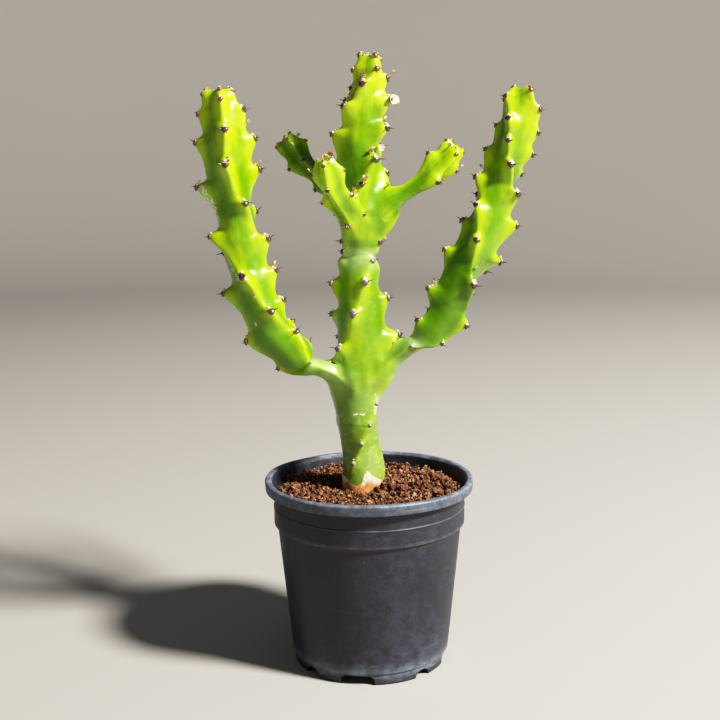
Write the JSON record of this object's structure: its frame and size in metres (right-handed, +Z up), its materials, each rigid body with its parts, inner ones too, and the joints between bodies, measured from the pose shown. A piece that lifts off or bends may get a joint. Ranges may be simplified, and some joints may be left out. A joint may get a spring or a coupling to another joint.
{
  "type": "potted euphorbia",
  "caption": "Branching ribbed succulent with thorny tubercles and dried flowers, rooted in crumbly soil in a tapered round nursery pot with a thick rim",
  "frame": {"origin": "under the middle of the pot, on the surface it stands on", "axes": "+Z up through the pot, -Y the side the picture is taken from, +X its right"},
  "size_m": [0.2343, 0.15, 0.4299],
  "materials": {
    "pot_plastic": "dusty, lightly scuffed charcoal plastic",
    "potting_mix": "crumbly reddish-brown coir potting mix",
    "old_stem": "older dull green skin, corky tan at the foot",
    "green_stem": "waxy yellow-green skin",
    "dried_flower": "dry, papery, straw to brown"
  },
  "bodies": {
    "root": {"pot": "pot_plastic", "soil": "potting_mix", "trunk": "old_stem", "crown_stem": "green_stem", "left_branch": "green_stem", "right_branch": "green_stem", "front_arm": "green_stem", "back_arm": "green_stem", "right_arm": "green_stem", "dried_flower_01": "dried_flower", "dried_flower_02": "dried_flower", "dried_flower_03": "dried_flower", "dried_flower_04": "dried_flower", "dried_flower_05": "dried_flower", "dried_flower_06": "dried_flower", "dried_flower_07": "dried_flower", "dried_flower_08": "dried_flower", "dried_flower_09": "dried_flower", "dried_flower_10": "dried_flower", "dried_flower_11": "dried_flower", "dried_flower_12": "dried_flower", "dried_flower_13": "dried_flower", "dried_flower_14": "dried_flower", "dried_flower_15": "dried_flower", "dried_flower_16": "dried_flower", "dried_flower_17": "dried_flower", "dried_flower_18": "dried_flower", "dried_flower_19": "dried_flower", "dried_flower_20": "dried_flower", "dried_flower_21": "dried_flower", "dried_flower_22": "dried_flower", "dried_flower_23": "dried_flower", "dried_flower_24": "dried_flower"}
  },
  "joints": []
}
